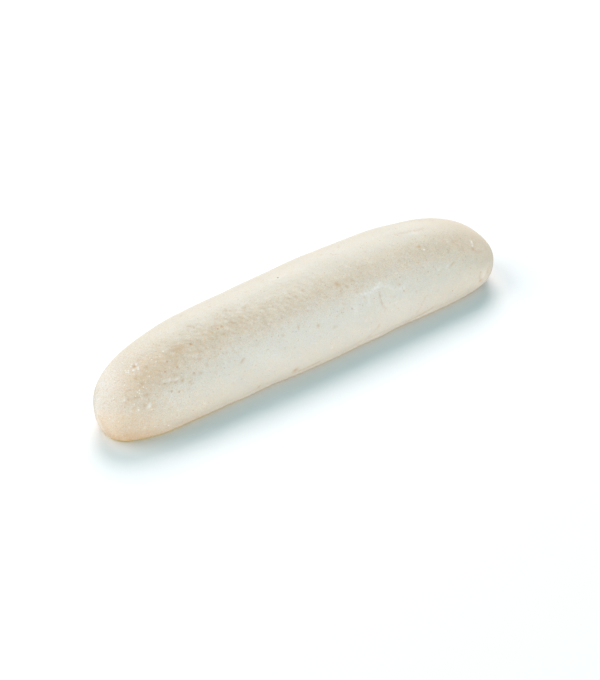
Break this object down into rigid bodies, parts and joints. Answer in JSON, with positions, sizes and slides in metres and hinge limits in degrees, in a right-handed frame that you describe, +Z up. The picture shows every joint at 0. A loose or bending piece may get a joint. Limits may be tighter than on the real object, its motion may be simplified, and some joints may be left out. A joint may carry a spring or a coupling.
{
  "type": "panini roll",
  "caption": "Long pale part-baked bread roll with round ends, a soft crown dusted with flour and a flat base to lie on.",
  "frame": {"origin": "on the flat base, under the middle of the bounding box", "axes": "+X along the roll towards its blunter end, +Y to the side that the roll bows out to, +Z up through the crown"},
  "size_m": [0.27, 0.0672, 0.0429],
  "materials": {
    "crust": "matte"
  },
  "bodies": {
    "root": {"bread_roll": "crust"}
  },
  "joints": []
}
